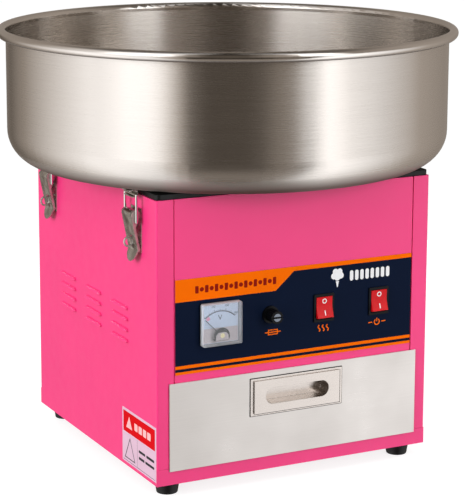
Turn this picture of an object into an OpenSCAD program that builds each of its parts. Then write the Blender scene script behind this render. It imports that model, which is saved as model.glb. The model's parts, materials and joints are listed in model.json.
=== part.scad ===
// Candy floss machine: a square sheet-metal cabinet that holds the motor and the drawer,
// and a round steel bowl on top of it that catches the floss round the spinner head.
// The origin is on the floor, on the spinner's axis. The control panel faces -Y.

/* [Cabinet] */
// Width and depth of the cabinet
cabinet_w = 334; // [330:1:340]
// Height of the cabinet, without its feet
cabinet_h = 310; // [308:1:316]
// Thickness of the cabinet's sheet
sheet_t = 1.2; // [1:0.1:1.4]
// Width of each side panel's flange, which is a column beside the control panel
column_w = 20; // [18:0.5:21]
// Height of the rail under the drawer
rail_h = 18; // [16:0.5:19]
// Height of the feet
foot_h = 15; // [12:1:24]
// Thickness of the rubber sheet between the cabinet and the bowl
gasket_t = 6; // [5:0.5:7]

/* [Louvres] */
// Length of one louvre
louvre_l = 43; // [30:1:50]
// How far a louvre's hood stands out of the side panel
louvre_r = 3.5; // [3:0.5:5]
// Columns of louvres on a side panel
louvre_columns = 3; // [1:1:3]
// Rows of louvres on a side panel
louvre_rows = 4; // [1:1:6]

/* [Bowl] */
// Overall diameter of the bowl
bowl_d = 520; // [515:1:530]
// Overall height of the bowl
bowl_h = 153; // [140:1:170]
// Thickness of the bowl's sheet
bowl_t = 0.8; // [0.6:0.1:0.9]
// Radius between the bowl's bottom and its wall
bowl_corner_r = 38; // [36:1:40]
// Diameter of the rolled bead round the rim
bead_d = 11; // [9:0.5:12]
// Diameter of the hole that the spinner head stands in
bowl_hole_d = 155; // [145:1:156]

/* [Spinner] */
// Diameter of the spinner head
head_d = 130; // [124:1:134]
// Height of the spinner head's mesh band
mesh_h = 35; // [30:1:40]
// Diameter of the spinner's shaft
shaft_d = 17; // [17:0.1:17]
// Pitch radius of the shaft's pulley
driven_pitch_r = 38; // [36:0.5:40]
// Pitch radius of the motor's pulley
motor_pitch_r = 19; // [18:0.5:20]

/* [Drawer] */
// Width of the drawer's front
drawer_w = 306; // [304:1:310]
// Height of the drawer's front
drawer_h = 97; // [96:0.5:98]
// Depth of the drawer's box
drawer_depth = 250; // [200:1:260]

/* [Controls] */
// Width of the voltmeter
meter_w = 46; // [44:1:50]
// Width of a rocker switch's bezel
bezel_w = 25; // [24.5:0.5:27]
// Height of a rocker switch's bezel
bezel_h = 31; // [30:0.5:33]
// Angle that a rocker tilts each way from level
rocker_tilt = 9; // [6:1:9]

/* [Latches] */
// Distance of each latch from the middle of the side panel
latch_y = 119; // [110:1:122]
// Width of a latch's lever
lever_w = 25; // [25:0.5:26]
// Diameter of the bail's wire
bail_d = 3; // [2.5:0.1:3]

/* [Hidden] */

$fn = 48;
touch = 0.05;            // radial play of a part that is pressed or screwed on
slide_gap = 0.3;         // play between parts that move past each other
bolt_play = 0.1;         // radial play of a screw in its hole

// Heights of the cabinet
half = cabinet_w / 2;
inner = half - sheet_t;
cab_z0 = foot_h;
cab_z1 = foot_h + cabinet_h;
bowl_z0 = cab_z1 + gasket_t;
floor_z = cab_z0 + sheet_t;
rail_z = cab_z0 + rail_h;
top_under_z = cab_z1 - 2 * sheet_t;
foot_pos = half - 22;
column_x = half - column_w;
panel_y = -half;                // front face of the front panel
seam = 1;                       // gap between the front panel and the columns
panel_half_w = column_x - seam;
panel_return = 10;              // depth of the front panel's folded sides
fold_r = 2;                     // outer radius of the cabinet's vertical folds
overlay_t = 0.4;
overlay_y = panel_y - overlay_t;

// Louvres, feet, screws and the cord's gland
louvre_z = cab_z0 + 159;
louvre_pitch_y = 73;
louvre_pitch_z = 12.2;
foot_screw_r = 2.4;
foot_top_r = 14;
foot_low_r = 11.5;
foot_bore_h = 6;
screw_r = 2;
rear_screw_x = half - 13;
rear_screw_zs = [cab_z0 + 45, cab_z0 + 165, cab_z1 - 25];
gland_x = -110;
gland_z = cab_z0 + 45;
gland_r = 8;
gland_bore_r = 3.6;

// Drawer
drawer_z0 = rail_z - 3;
drawer_z1 = drawer_z0 + drawer_h;
drawer_back_y = -half - slide_gap;
drawer_plate_t = 1.5;
drawer_face_y = drawer_back_y - drawer_plate_t;
box_half_w = 140;
box_z0 = rail_z + 3;
box_z1 = drawer_z1 - 9;
runner_z = box_z0 - slide_gap;

// Flush pull of the drawer
pull_z = drawer_z0 + 69;
pull_w = 113.6;
pull_h = 41.7;
pull_t = 1;
pull_raised_w = 106;
pull_raised_h = 36.8;
pull_raised_t = 2;
pull_corner_r = 0.8;
pull_slot_w = 78;
pull_slot_h = 18;
pull_depth = 15;
pull_wall = 1;

// Control panel, with heights from the cabinet's lower edge
panel_bottom_z = drawer_z1 - 3;
overlay_z0 = cab_z0 + 120.3;
overlay_z1 = cab_z0 + 223.8;
meter_x = -94;
meter_z = cab_z0 + 172.5;
fuse_x = -32.5;
heat_x = 33.5;
power_x = 103;
control_z = cab_z0 + 174.2;

// Voltmeter, whose depths are measured from the overlay
meter_base_t = 2;
meter_depth = 10;
meter_wall = 1.2;
meter_barrel_r = 18.5;
meter_barrel_l = 31;
dial_t = 0.6;
meter_face_y = overlay_y - meter_base_t;
needle_z = meter_z - 13;
needle_l = 26;
needle_rest = -45;
pivot_cover_r = 9;

// Rocker switches
bezel_t = 2;
switch_w = 22;
switch_h = 28;
switch_depth = 24;
rocker_w = 19.6;
rocker_half_h = 11.6;
rocker_pin_r = 1.5;
rocker_y = overlay_y + 1.2;

// Fuse holder
fuse_bore_r = 4.9;
fuse_neck_r = 4.6;
fuse_link_r = 2.6;
fuse_link_l = 20;
fuse_neck_l = 9;
fuse_flange_r = 9.5;
fuse_flange_t = 2.5;
fuse_cap_r = 7.2;
fuse_cap_l = 14;
fuse_cap_y = overlay_y - fuse_flange_t - slide_gap;
fuse_body_l = 32;

// Drive, on a deck over the drawer
deck_z = drawer_z1 + 4.2;
deck_y0 = -half + 17;
motor_x = 95;
motor_y = 60;
isolator_h = 12;
motor_plate_t = 3;
motor_z0 = deck_z + isolator_h + motor_plate_t;
motor_r = 46;
motor_h = 70;
motor_wall = 3;
motor_cap_t = 6;
motor_shaft_r = 5;
stator_in_r = 27;
rotor_r = 26.4;
belt_t = 4;
belt_w = 8;
belt_z = deck_z + 105;
belt_gap = 0.4;
pulley_flange_h = 2;
pulley_flange_t = 3.5;
shaft_dist = norm([motor_x, motor_y]);
belt_turn = atan2(motor_y, motor_x);

// Bearings and their housing
shaft_r = shaft_d / 2;
bearing_r = 20;
bearing_w = 12;
housing_r = 27;
housing_top = bowl_z0 + 11;
housing_h = 80;
housing_flange_r = 50;
housing_flange_t = 4;
housing_bolts = 6;
housing_bolt_r = 40;
inner_ring_r = 11.5;
outer_ring_r = 17;
ball_r = 2.6;
balls = 9;
bearing_zs = [housing_top - housing_h, housing_top - bearing_w];

// Shaft, slip rings and brushes
shaft_z0 = belt_z - 50;
shaft_z1 = housing_top + 14;
shaft_bore_r = 4;
slip_z0 = shaft_z0 + 4;
slip_h = 32;
slip_hub_r = 17;
slip_r = 20;
slip_ring_h = 10;
slip_ring_zs = [slip_z0 + 9, slip_z0 + 23];
brush_x0 = -60;
brush_x1 = -26;
brush_w = 8;
brush_t = 6;

// Spinner head
head_r = head_d / 2;
head_z0 = housing_top + 5;
head_z1 = head_z0 + 3;
mesh_r = head_r - 2.5;
mesh_t = 1;
cap_z = head_z1 + mesh_h;
cap_t = 2;
cap_hole_r = 33;
head_screws = 4;
head_screw_circle_r = 48;
heater_r = 54;
heater_wire_r = 3;
heater_gap_a = 6;
heater_z = head_z1 + 18;

// Bowl
bowl_r = bowl_d / 2;
bead_r = bead_d / 2;
bead_t = 1;
bowl_wall_r = bowl_r - bead_d + bowl_t;
bowl_flat_r = bowl_wall_r - bowl_corner_r;
collar_h = 20;
collar_bead_r = 1.6;

// Latches. x is measured outwards from the side panel, and z from the floor
latch_t = 1.2;
pivot_x = 7;
pivot_z = cab_z1 - 21;
pin_r = 2;
crank_l = 7;
bail_r = bail_d / 2;
bail_l = 29;
bail_y = lever_w / 2 + 2.3;
lever_t = 1.3;
lever_l = 51;
edge_fold = 2.7;
barrel_r = 5.4;
barrel_y = lever_w / 2 - 3.5;
elbow_x = 4.7;
elbow_l = 37.5;
tip_r = lever_w / 2 - 1;
tip_z = pivot_z - lever_l + tip_r;
ear_r = 3.7;
ear_t = 1.3;
ear_y = lever_w / 2 - 3.1;
staple_x = pivot_x + 2.9;
staple_z = pivot_z - 30;
staple_r = 5;
staple_wire_r = 1.1;
slot_w = 4.8;
slot_half_l = 7.3;
bar_z = pivot_z - crank_l + bail_l;
catch_w = 22;
catch_t = 1.2;
catch_x0 = pivot_x - bail_r - 0.4;
catch_x1 = catch_x0 + 9;
catch_floor_x1 = pivot_x + 2.8;
catch_rivet_r = 1.4;
catch_rivet_x = 6.5;
catch_rivet_y = 4;
catch_rivet_lift = 0.2;

// ---- shapes that repeat

module between(a, b) {
    translate(a) cube(b - a);
}

// A flat shape drawn in x and z, thickened from y towards the front
module toward_front(y, t) {
    translate([0, y, 0]) rotate([90, 0, 0]) linear_extrude(t) children();
}

// A rod along Y from y0 to y1
module rod_y(x, z, r, y0, y1) {
    translate([x, y1, z]) rotate([90, 0, 0]) cylinder(h = y1 - y0, r = r);
}

// A rod along X from x0 to x1
module rod_x(y, z, r, x0, x1) {
    translate([x0, y, z]) rotate([0, 90, 0]) cylinder(h = x1 - x0, r = r);
}

module rounded(w, h, r) {
    square([w - 2 * r, h], center = true);
    square([w, h - 2 * r], center = true);
    for (sx = [-1, 1], sy = [-1, 1])
        translate([sx * (w / 2 - r), sy * (h / 2 - r)]) circle(r);
}

module at_corners(x, y) {
    for (sx = [-1, 1], sy = [-1, 1]) translate([sx * x, sy * y, 0]) children();
}

module tube(r_out, r_in, h) {
    difference() {
        cylinder(h = h, r = r_out);
        translate([0, 0, -1]) cylinder(h = h + 2, r = r_in);
    }
}

// A pan-head screw along +Z whose head sits on z = 0
module screw(r, l, head_r, head_h) {
    cylinder(h = l, r = r);
    translate([0, 0, -head_h]) cylinder(h = head_h, r = head_r);
}

// ---- cabinet

module louvre_hood(r, l) {
    rod_y(0, 0, r, -l / 2 + r, l / 2 - r);
    for (s = [-1, 1]) translate([0, s * (l / 2 - r), 0]) sphere(r);
}

// One louvre on a panel whose outer face is at x = 0 and faces +X
module louvre() {
    intersection() {
        difference() {
            louvre_hood(louvre_r, louvre_l);
            louvre_hood(louvre_r - 1, louvre_l - 2);
        }
        between([0, -louvre_l, 0], [2 * louvre_r, louvre_l, 2 * louvre_r]);
    }
}

module each_louvre() {
    for (c = [0 : louvre_columns - 1], r = [0 : louvre_rows - 1])
        translate([half, louvre_pitch_y * (c - (louvre_columns - 1) / 2),
                   louvre_z + louvre_pitch_z * (r - (louvre_rows - 1) / 2)])
            children();
}

// The right-hand side panel from above: a wall, a flange at each end, and the front one's return
module side_profile() {
    difference() {
        rounded(cabinet_w, cabinet_w, fold_r);
        rounded(2 * inner, 2 * inner, fold_r - sheet_t);
        translate([-half, -half]) square([half + column_x, cabinet_w]);
    }
    translate([column_x, -half]) square([sheet_t, panel_return]);
}

module side_panel() {
    column_z = rail_z + slide_gap;
    color("hotpink") {
        difference() {
            union() {
                translate([0, 0, column_z]) linear_extrude(cab_z1 - column_z) side_profile();
                between([inner, -half, cab_z0], [half, half, column_z]);
                between([column_x, -inner, cab_z1 - sheet_t], [inner, inner, cab_z1]);
            }
            each_louvre() between([-2 * sheet_t, -louvre_l / 2 + 3, -0.6], [1, louvre_l / 2 - 3, 2]);
            for (z = rear_screw_zs) rod_y(rear_screw_x, z, screw_r + bolt_play, inner - 1, half + 1);
        }
        each_louvre() louvre();
    }
}

module right_side_panel() {
    side_panel();
}

module left_side_panel() {
    mirror([1, 0, 0]) side_panel();
}

module base_pan() {
    color("deeppink") difference() {
        union() {
            between([-inner, -half, cab_z0], [inner, half, floor_z]);
            for (s = [-1, 1]) {
                between([-inner, s * (half - sheet_t / 2) - sheet_t / 2, cab_z0],
                        [inner, s * (half - sheet_t / 2) + sheet_t / 2, rail_z]);
                between([s * (inner - sheet_t / 2) - sheet_t / 2, -half, cab_z0],
                        [s * (inner - sheet_t / 2) + sheet_t / 2, half, rail_z]);
            }
        }
        at_corners(foot_pos, foot_pos) cylinder(h = 2 * floor_z, r = foot_screw_r + bolt_play);
        for (x = [-90 : 20 : 90])
            between([x - 2, 70, cab_z0 - 1], [x + 2, 120, floor_z + 1]);
    }
}

module rear_panel() {
    color("hotpink") difference() {
        between([-half + 7, inner - sheet_t, rail_z + slide_gap], [half - 7, inner, cab_z1 - sheet_t]);
        for (s = [-1, 1], z = rear_screw_zs)
            rod_y(s * rear_screw_x, z, screw_r + bolt_play, inner - 5, half);
        for (s = [-1, 1], row = [0 : 5])
            between([s * 60 - 35, inner - 5, cab_z0 + 180 + 14 * row],
                    [s * 60 + 35, half, cab_z0 + 184 + 14 * row]);
        rod_y(gland_x, gland_z, gland_r + bolt_play, inner - 5, half);
    }
}

module control_holes(y0, y1) {
    rod_y(meter_x, meter_z, meter_barrel_r + bolt_play, y0, y1);
    rod_y(fuse_x, control_z, fuse_neck_r + 1.4 + bolt_play, y0, y1);
    for (x = [heat_x, power_x])
        between([x - switch_w / 2 - bolt_play, y0, control_z - switch_h / 2 - bolt_play],
                [x + switch_w / 2 + bolt_play, y1, control_z + switch_h / 2 + bolt_play]);
}

// A tray whose open side faces the inside of the cabinet
module front_panel() {
    color("deeppink") difference() {
        between([-panel_half_w, panel_y, panel_bottom_z], [panel_half_w, panel_y + panel_return, cab_z1]);
        between([-panel_half_w + sheet_t, panel_y + sheet_t, panel_bottom_z + sheet_t],
                [panel_half_w - sheet_t, panel_y + panel_return + 1, cab_z1 - sheet_t]);
        control_holes(panel_y - 1, panel_y + sheet_t + 1);
    }
}

module control_overlay() {
    color("darkorange") difference() {
        between([-panel_half_w + 0.5, overlay_y, overlay_z0], [panel_half_w - 0.5, panel_y, overlay_z1]);
        control_holes(overlay_y - 1, panel_y + 1);
    }
}

module top_plate() {
    color("hotpink") difference() {
        union() {
            between([-column_x + slide_gap, -half + panel_return + slide_gap, cab_z1 - sheet_t],
                    [column_x - slide_gap, inner, cab_z1]);
            between([-inner + 1, -half + panel_return + slide_gap, top_under_z],
                    [inner - 1, inner - 10, cab_z1 - sheet_t]);
        }
        translate([0, 0, cab_z1 - 6]) cylinder(h = 12, r = housing_r + bolt_play);
        each_housing_bolt() translate([0, 0, cab_z1 - 6]) cylinder(h = 12, r = screw_r + bolt_play);
    }
}

module top_gasket() {
    color("black") translate([0, 0, cab_z1]) linear_extrude(gasket_t) difference() {
        rounded(cabinet_w - 2, cabinet_w - 2, 5);
        circle(bowl_hole_d / 2 + 5, $fn = 96);
    }
}

module side_label() {
    color("mistyrose") between([-half - 0.2, -half + 1.5, cab_z0 + 4], [-half, -half + 89.5, cab_z0 + 65]);
}

// ---- feet, screws and the cord's gland

module feet() {
    color([0.08, 0.08, 0.08]) at_corners(foot_pos, foot_pos) difference() {
        cylinder(h = foot_h, r1 = foot_low_r, r2 = foot_top_r);
        translate([0, 0, -1]) cylinder(h = foot_h + 2, r = foot_screw_r + bolt_play);
        translate([0, 0, -1]) cylinder(h = foot_bore_h + 1, r = 5.5);
    }
}

module cabinet_screws() {
    color("silver") {
        at_corners(foot_pos, foot_pos) {
            translate([0, 0, foot_bore_h]) screw(foot_screw_r, floor_z + 6 - foot_bore_h, 4.6, 3);
            translate([0, 0, floor_z]) difference() {
                cylinder(h = 4, r = 4.6, $fn = 6);
                translate([0, 0, -1]) cylinder(h = 6, r = foot_screw_r + touch);
            }
        }
        for (s = [-1, 1], z = rear_screw_zs)
            translate([s * rear_screw_x, half, z]) rotate([90, 0, 0]) screw(screw_r, 8, 4, 2.4);
        each_housing_bolt() translate([0, 0, cab_z1]) mirror([0, 0, 1]) screw(screw_r, 10, 3.8, 2.2);
    }
}

module cable_gland() {
    color([0.1, 0.1, 0.1]) difference() {
        union() {
            rod_y(gland_x, gland_z, gland_r, inner - 12, inner + 2);
            translate([gland_x, inner + 5, gland_z]) rotate([90, 0, 0]) cylinder(h = 5, r = 12, $fn = 6);
            rod_y(gland_x, gland_z, 9.5, inner + 5, inner + 13);
            translate([gland_x, inner - sheet_t, gland_z]) rotate([90, 0, 0]) cylinder(h = 5, r = 12, $fn = 6);
        }
        rod_y(gland_x, gland_z, gland_bore_r, 0, 2 * half);
    }
}

module terminal_block() {
    color("ivory") translate([-110, 90, deck_z]) difference() {
        between([-30, -10, 0], [30, 10, 18]);
        for (i = [-2 : 2]) {
            between([11 * i - 4, -12, 3], [11 * i + 4, -5, 12]);
            between([11 * i - 4, 5, 3], [11 * i + 4, 12, 12]);
            translate([11 * i, 0, 12]) cylinder(h = 8, r = 3);
        }
    }
}

// ---- drawer

module runner_profile() {
    translate([box_half_w - 15, runner_z - sheet_t]) square([18 + slide_gap + sheet_t, sheet_t]);
    translate([box_half_w + 3 + slide_gap, floor_z]) square([sheet_t, 46]);
    translate([box_half_w + 3 + slide_gap, floor_z]) square([14, sheet_t]);
}

module drawer_runners() {
    color("lightgray") difference() {
        for (s = [0, 1]) mirror([s, 0, 0]) toward_front(110, 110 + half - 12) runner_profile();
        at_corners(foot_pos, foot_pos) cylinder(h = floor_z + 7, r = 6);
    }
}

module drawer_box() {
    color("gainsboro") difference() {
        between([-box_half_w, drawer_back_y, box_z0], [box_half_w, drawer_back_y + drawer_depth, box_z1]);
        between([-box_half_w + 1, drawer_back_y + 1, box_z0 + 1],
                [box_half_w - 1, drawer_back_y + drawer_depth - 1, box_z1 + 1]);
        toward_front(drawer_back_y + 2, 4) translate([0, pull_z])
            rounded(pull_slot_w + 2 * pull_wall + 1, pull_slot_h + 2 * pull_wall + 1, pull_slot_h / 2);
    }
}

module drawer_front() {
    color("gainsboro") difference() {
        between([-drawer_w / 2, drawer_face_y, drawer_z0], [drawer_w / 2, drawer_back_y, drawer_z1]);
        toward_front(drawer_back_y + 1, 4) translate([0, pull_z])
            rounded(pull_slot_w + 2 * pull_wall + 0.6, pull_slot_h + 2 * pull_wall + 0.6, pull_slot_h / 2);
    }
}

module drawer_handle() {
    color("silver") difference() {
        union() {
            toward_front(drawer_face_y, pull_t) translate([0, pull_z]) rounded(pull_w, pull_h, pull_corner_r);
            toward_front(drawer_face_y - pull_t, pull_raised_t) translate([0, pull_z])
                rounded(pull_raised_w, pull_raised_h, pull_corner_r);
            toward_front(drawer_face_y + pull_depth, pull_depth) translate([0, pull_z])
                rounded(pull_slot_w + 2 * pull_wall, pull_slot_h + 2 * pull_wall, pull_slot_h / 2 + pull_wall - 0.01);
        }
        toward_front(drawer_face_y + pull_depth - pull_wall, 2 * pull_depth) translate([0, pull_z])
            rounded(pull_slot_w, pull_slot_h, pull_slot_h / 2 - 0.01);
    }
}

// ---- voltmeter

module meter_housing() {
    color([0.12, 0.12, 0.12]) {
        toward_front(overlay_y, meter_base_t) translate([meter_x, meter_z]) rounded(meter_w, meter_w, 1.5);
        difference() {
            rod_y(meter_x, meter_z, meter_barrel_r, overlay_y, overlay_y + meter_barrel_l);
            rod_y(meter_x, meter_z, meter_barrel_r - 2, overlay_y + 1, overlay_y + meter_barrel_l - 2);
        }
    }
    color("black") {
        intersection() {
            rod_y(meter_x, needle_z, pivot_cover_r, meter_face_y - 6, meter_face_y - 5);
            between([meter_x - 20, -2 * half, needle_z - 4], [meter_x + 20, 0, needle_z + 20]);
        }
        between([meter_x - 8, meter_face_y - 6, needle_z - 5], [meter_x + 8, meter_face_y - dial_t, needle_z - 4]);
    }
}

module meter_dial() {
    color("ivory") toward_front(meter_face_y, dial_t) translate([meter_x, meter_z])
        rounded(meter_w - 3, meter_w - 3, 1);
}

module meter_cover() {
    color("whitesmoke", 0.4) difference() {
        toward_front(meter_face_y, meter_depth - meter_base_t) translate([meter_x, meter_z])
            rounded(meter_w, meter_w, 1.5);
        toward_front(meter_face_y + 1, meter_depth - meter_base_t - meter_wall + 1)
            translate([meter_x, meter_z]) rounded(meter_w - 2 * meter_wall, meter_w - 2 * meter_wall, 1);
    }
}

module meter_needle() {
    color("black") {
        rod_y(meter_x, needle_z, 1.6, meter_face_y - 3.6, meter_face_y - dial_t - slide_gap);
        translate([meter_x, meter_face_y - 3, needle_z]) rotate([0, needle_rest, 0])
            translate([-0.35, 0, 0]) cube([0.7, 0.5, needle_l]);
    }
}

// ---- rocker switches

module switch_body(x) {
    color([0.07, 0.07, 0.07]) translate([x, 0, control_z]) difference() {
        union() {
            toward_front(overlay_y, bezel_t) rounded(bezel_w, bezel_h, 1.2);
            between([-switch_w / 2, overlay_y, -switch_h / 2],
                    [switch_w / 2, overlay_y + switch_depth, switch_h / 2]);
        }
        between([-rocker_w / 2 - slide_gap, overlay_y - 5, -rocker_half_h - 1.2],
                [rocker_w / 2 + slide_gap, overlay_y + switch_depth - 4, rocker_half_h + 1.2]);
        rod_x(rocker_y, 0, rocker_pin_r + touch, -switch_w / 2 - 1, switch_w / 2 + 1);
    }
}

// The rocker's outline from the side: a shallow V in front, and a keel behind
module rocker(x) {
    color("crimson") translate([x, rocker_y, control_z]) rotate([-rocker_tilt, 0, 0]) {
        rotate([90, 0, 90]) translate([0, 0, -rocker_w / 2]) linear_extrude(rocker_w)
            polygon([[-5.6, rocker_half_h], [-3.6, 0], [-5.6, -rocker_half_h],
                     [0.5, -rocker_half_h], [6, -4], [6, 4], [0.5, rocker_half_h]]);
        rod_x(0, 0, rocker_pin_r, -rocker_w / 2 - 0.9, rocker_w / 2 + 0.9);
    }
}

module heat_switch_body() { switch_body(heat_x); }
module power_switch_body() { switch_body(power_x); }
module heat_rocker() { rocker(heat_x); }
module power_rocker() { rocker(power_x); }

// ---- fuse

module fuse_holder() {
    color([0.06, 0.06, 0.06]) difference() {
        union() {
            rod_y(fuse_x, control_z, fuse_flange_r, overlay_y - fuse_flange_t, overlay_y);
            rod_y(fuse_x, control_z, fuse_neck_r + 1.4, overlay_y, overlay_y + fuse_body_l);
        }
        rod_y(fuse_x, control_z, fuse_bore_r, overlay_y - 5, overlay_y + fuse_body_l - 2);
    }
    color([0.06, 0.06, 0.06]) translate([fuse_x, panel_y + sheet_t + 3, control_z]) rotate([90, 0, 0])
        difference() {
            cylinder(h = 3, r = 9.5, $fn = 6);
            translate([0, 0, -1]) cylinder(h = 5, r = fuse_neck_r + 1.4 + touch);
        }
}

module fuse_link() {
    color("silver") rod_y(fuse_x, control_z, fuse_link_r, fuse_cap_y + fuse_neck_l + touch,
                          fuse_cap_y + fuse_neck_l + fuse_link_l);
}

module fuse_cap() {
    color([0.05, 0.05, 0.05]) difference() {
        union() {
            rod_y(fuse_x, control_z, fuse_neck_r, fuse_cap_y - 1, fuse_cap_y + fuse_neck_l);
            rod_y(fuse_x, control_z, fuse_cap_r, fuse_cap_y - fuse_cap_l, fuse_cap_y);
        }
        translate([fuse_x, fuse_cap_y - fuse_cap_l, control_z])
            between([-fuse_cap_r - 1, -1, -0.8], [fuse_cap_r + 1, 1.6, 0.8]);
        for (a = [0 : 30 : 330])
            translate([fuse_x, fuse_cap_y - 3, control_z]) rotate([90, a, 0])
                translate([fuse_cap_r + 0.3, 0, 0]) cylinder(h = fuse_cap_l, r = 0.9);
    }
}

// ---- motor and belt

module drive_deck() {
    color("lightgray") difference() {
        union() {
            between([-inner, deck_y0, deck_z - sheet_t], [inner, inner - sheet_t, deck_z]);
            for (s = [-1, 1])
                between([s * (inner - sheet_t / 2) - sheet_t / 2, deck_y0, deck_z - sheet_t],
                        [s * (inner - sheet_t / 2) + sheet_t / 2, inner - 20, deck_z + 12]);
        }
        for (x = [-120 : 15 : -45]) between([x - 3, -60, deck_z - 3], [x + 3, 0, deck_z + 1]);
    }
}

module motor_isolators() {
    color([0.1, 0.1, 0.1]) translate([motor_x, motor_y, deck_z]) at_corners(40, 40)
        tube(8, 2.5, isolator_h);
}

module motor_plate() {
    color("silver") translate([motor_x, motor_y, deck_z + isolator_h]) linear_extrude(motor_plate_t)
        difference() {
            rounded(100, 100, 8);
            circle(12);
            for (sx = [-1, 1], sy = [-1, 1]) translate([40 * sx, 40 * sy]) circle(2.6);
        }
}

module motor_housing() {
    color("slategray") translate([motor_x, motor_y, motor_z0]) {
        difference() {
            cylinder(h = motor_h, r = motor_r, $fn = 72);
            translate([0, 0, 4]) cylinder(h = motor_h, r = motor_r - motor_wall, $fn = 72);
            translate([0, 0, -1]) cylinder(h = 6, r = motor_shaft_r + 1);
        }
        translate([0, 0, motor_h]) tube(motor_r, motor_shaft_r + 1, motor_cap_t);
    }
}

module motor_stator() {
    color("peru") translate([motor_x, motor_y, motor_z0 + 12])
        tube(motor_r - motor_wall - touch, stator_in_r, motor_h - 24);
}

module motor_rotor() {
    color("dimgray") translate([motor_x, motor_y, motor_z0]) {
        difference() {
            translate([0, 0, 14]) cylinder(h = motor_h - 28, r = rotor_r);
            translate([0, 0, 1]) cylinder(h = motor_h, r = motor_shaft_r + touch);
        }
        translate([0, 0, -2]) cylinder(h = belt_z + 12 - motor_z0, r = motor_shaft_r);
    }
}

// A flat-belt pulley whose groove is centred on z = 0
module pulley(pitch_r, bore_r, hub_r, hub_h) {
    groove_r = pitch_r - belt_t / 2 - belt_gap;
    flange_r = pitch_r + belt_t / 2 + pulley_flange_h;
    groove_h = belt_w + 1;
    difference() {
        union() {
            translate([0, 0, -groove_h / 2]) cylinder(h = groove_h, r = groove_r);
            for (s = [-1, 1]) translate([0, 0, s * (groove_h + pulley_flange_t) / 2 - pulley_flange_t / 2])
                cylinder(h = pulley_flange_t, r = flange_r);
            translate([0, 0, -hub_h]) cylinder(h = hub_h, r = hub_r);
        }
        translate([0, 0, -hub_h - 1]) cylinder(h = 3 * hub_h, r = bore_r);
    }
}

module motor_pulley() {
    color("silver") translate([motor_x, motor_y, belt_z])
        pulley(motor_pitch_r, motor_shaft_r + touch, 11, 9.5);
}

module driven_pulley() {
    color("silver") translate([0, 0, belt_z]) pulley(driven_pitch_r, shaft_r + touch, 15, 11);
}

// The outline of a belt round both pulleys
module belt_outline(r1, r2) {
    hull() {
        circle(r1, $fn = 72);
        translate([shaft_dist, 0]) circle(r2, $fn = 72);
    }
}

module drive_belt() {
    color([0.1, 0.1, 0.1]) rotate([0, 0, belt_turn]) translate([0, 0, belt_z - belt_w / 2])
        linear_extrude(belt_w) difference() {
            belt_outline(driven_pitch_r + belt_t / 2, motor_pitch_r + belt_t / 2);
            belt_outline(driven_pitch_r - belt_t / 2 + 0.1, motor_pitch_r - belt_t / 2 + 0.1);
        }
}

// ---- bearings, shaft and slip rings

module each_housing_bolt() {
    for (i = [0 : housing_bolts - 1])
        rotate([0, 0, 360 / housing_bolts * i]) translate([housing_bolt_r, 0, 0]) children();
}

module bearing_housing() {
    color("gray") difference() {
        union() {
            translate([0, 0, housing_top - housing_h]) cylinder(h = housing_h, r = housing_r);
            translate([0, 0, top_under_z - housing_flange_t])
                cylinder(h = housing_flange_t, r = housing_flange_r);
        }
        for (z = bearing_zs) translate([0, 0, z]) {
            translate([0, 0, z > bearing_zs[0] ? 0 : -1]) cylinder(h = bearing_w + 1, r = bearing_r + touch);
        }
        cylinder(h = 2 * housing_top, r = bearing_r - 3);
        each_housing_bolt() translate([0, 0, cab_z1 - 20]) cylinder(h = 30, r = screw_r + bolt_play);
    }
}

module bearing_outer_rings() {
    color("silver") for (z = bearing_zs) translate([0, 0, z]) {
        tube(bearing_r, outer_ring_r, bearing_w);
        for (i = [0 : balls - 1]) rotate([0, 0, 360 / balls * i])
            translate([(inner_ring_r + outer_ring_r) / 2, 0, bearing_w / 2]) sphere(ball_r, $fn = 24);
    }
}

module bearing_inner_rings() {
    color("silver") for (z = bearing_zs) translate([0, 0, z]) tube(inner_ring_r, shaft_r + touch, bearing_w);
}

module spinner_shaft() {
    color("lightgray") difference() {
        union() {
            translate([0, 0, shaft_z0]) cylinder(h = shaft_z1 - shaft_z0, r = shaft_r);
            translate([0, 0, housing_top + 0.5]) cylinder(h = head_z0 - housing_top - 0.5, r = 12);
        }
        cylinder(h = 2 * shaft_z1, r = shaft_bore_r);
    }
}

module slip_rings() {
    color("saddlebrown") difference() {
        translate([0, 0, slip_z0]) tube(slip_hub_r, shaft_r + touch, slip_h);
    }
    color("gold") for (z = slip_ring_zs) translate([0, 0, z - slip_ring_h / 2])
        tube(slip_r, slip_hub_r + touch, slip_ring_h);
}

module brush_holder() {
    color("gray") difference() {
        union() {
            between([brush_x0 - 2, -12, deck_z], [brush_x0, 12, slip_z0 + slip_h]);
            between([brush_x0 - 18, -12, deck_z], [brush_x0, 12, deck_z + 2]);
        }
        translate([brush_x0 - 10, 0, deck_z - 1]) cylinder(h = 5, r = 2.2);
    }
    color("saddlebrown") difference() {
        between([brush_x0, -12, slip_z0], [brush_x1, 12, slip_z0 + slip_h]);
        for (z = slip_ring_zs)
            between([brush_x0 - 1, -brush_w / 2, z - brush_t / 2], [brush_x1 + 1, brush_w / 2, z + brush_t / 2]);
    }
}

module brushes() {
    color([0.2, 0.2, 0.2]) for (z = slip_ring_zs)
        between([brush_x0 + 8, -brush_w / 2 + bolt_play, z - brush_t / 2 + bolt_play],
                [-slip_r - slide_gap, brush_w / 2 - bolt_play, z + brush_t / 2 - bolt_play]);
}

// ---- spinner head

module spinner_base() {
    color("silver") difference() {
        union() {
            translate([0, 0, head_z0]) cylinder(h = head_z1 - head_z0, r = head_r, $fn = 96);
            translate([0, 0, head_z1]) tube(head_r, head_r - 1.5, 6, $fn = 96);
            translate([0, 0, head_z1]) cylinder(h = 8, r = 16);
        }
        translate([0, 0, head_z0 - 1]) cylinder(h = 20, r = shaft_r + touch);
    }
}

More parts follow.
